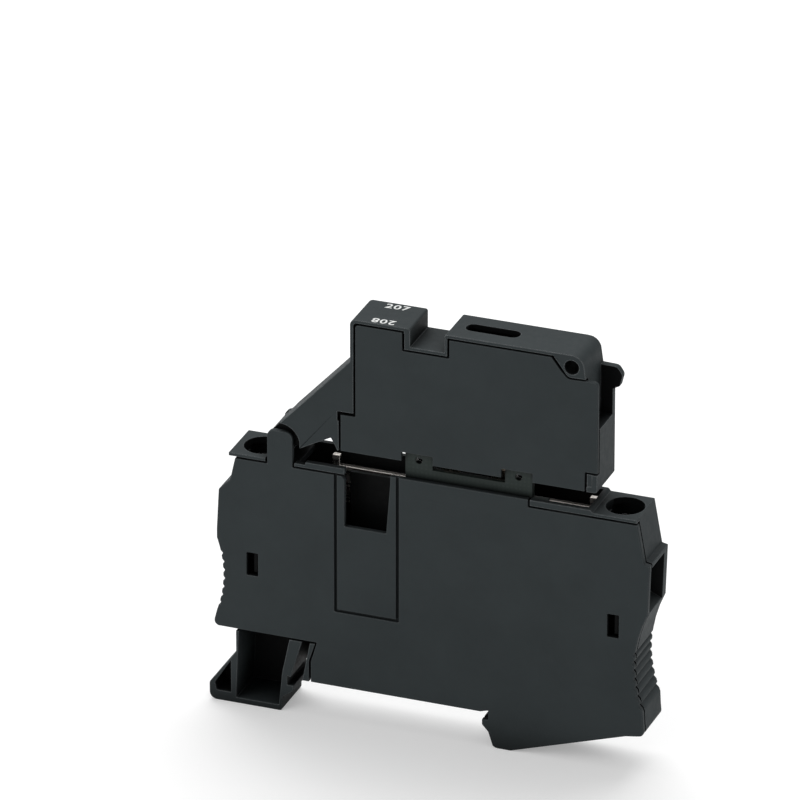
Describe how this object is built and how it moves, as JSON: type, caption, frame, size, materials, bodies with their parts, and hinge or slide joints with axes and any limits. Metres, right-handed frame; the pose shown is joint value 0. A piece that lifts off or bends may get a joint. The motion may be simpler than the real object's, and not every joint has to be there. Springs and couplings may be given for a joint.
{
  "type": "fuse terminal block",
  "caption": "Slim rail-mounted fuse terminal block with screw clamps at both ends and a swing-up lever that holds a cartridge fuse.",
  "frame": {"origin": "middle of the seat on the rail, halfway across the block's width", "axes": "+X along the block towards the lever's free end, +Y across it towards the closed back, +Z away from the rail"},
  "size_m": [0.0775, 0.009, 0.074],
  "materials": {
    "black_moulding": "fine-grained satin black",
    "green_black_plate": "smooth dark laminate",
    "tinned_copper": "tinned",
    "silvered_spring": "silver plated",
    "plated_steel": "zinc plated",
    "bright_zinc": "bright zinc",
    "nickel_cap": "nickel plated",
    "fuse_wire": "bare wire",
    "clear_glass": "clear",
    "red_lamp": "tinted clear",
    "green_board": "lacquered circuit board",
    "resistor_body": "lacquered"
  },
  "bodies": {
    "base": {"housing": "black_moulding", "side_cover": "black_moulding", "left_current_bar": "tinned_copper", "right_current_bar": "tinned_copper", "left_plug_fork": "silvered_spring", "right_plug_fork": "silvered_spring"},
    "lever": {"lever_body": "black_moulding", "lever_cover": "black_moulding", "contact_plate": "green_black_plate", "left_fuse_clip": "silvered_spring", "right_fuse_clip": "silvered_spring", "fuse_tube": "clear_glass", "left_fuse_cap": "nickel_cap", "right_fuse_cap": "nickel_cap", "fuse_wire": "fuse_wire", "indicator_board": "green_board", "indicator_lamp": "red_lamp", "indicator_resistor": "resistor_body"},
    "left_cage": {"left_clamp_cage": "plated_steel"},
    "right_cage": {"right_clamp_cage": "plated_steel"},
    "left_screw": {"left_clamp_screw": "bright_zinc"},
    "right_screw": {"right_clamp_screw": "bright_zinc"}
  },
  "joints": [
    {"name": "lever_hinge", "type": "hinge", "parent": "base", "child": "lever", "pos_m": [-0.0189, 0, 0.0433], "axis": [0, -1, 0], "range_deg": [0, 48]},
    {"name": "left_screw_turn", "type": "hinge", "parent": "base", "child": "left_screw", "pos_m": [-0.0235, 0, 0.0352], "axis": [0, 0, 1], "range_deg": [-1800, 0]},
    {"name": "right_screw_turn", "type": "hinge", "parent": "base", "child": "right_screw", "pos_m": [0.0399, 0, 0.0352], "axis": [0, 0, 1], "range_deg": [-1800, 0]},
    {"name": "left_cage_lift", "type": "slide", "parent": "base", "child": "left_cage", "axis": [0, 0, 1], "range_m": [0, 0.003]},
    {"name": "right_cage_lift", "type": "slide", "parent": "base", "child": "right_cage", "axis": [0, 0, 1], "range_m": [0, 0.003]}
  ],
  "couplings": [
    {"joint": "left_screw_turn", "follows": "left_cage_lift", "rad_per_m": -10472},
    {"joint": "right_screw_turn", "follows": "right_cage_lift", "rad_per_m": -10472}
  ]
}
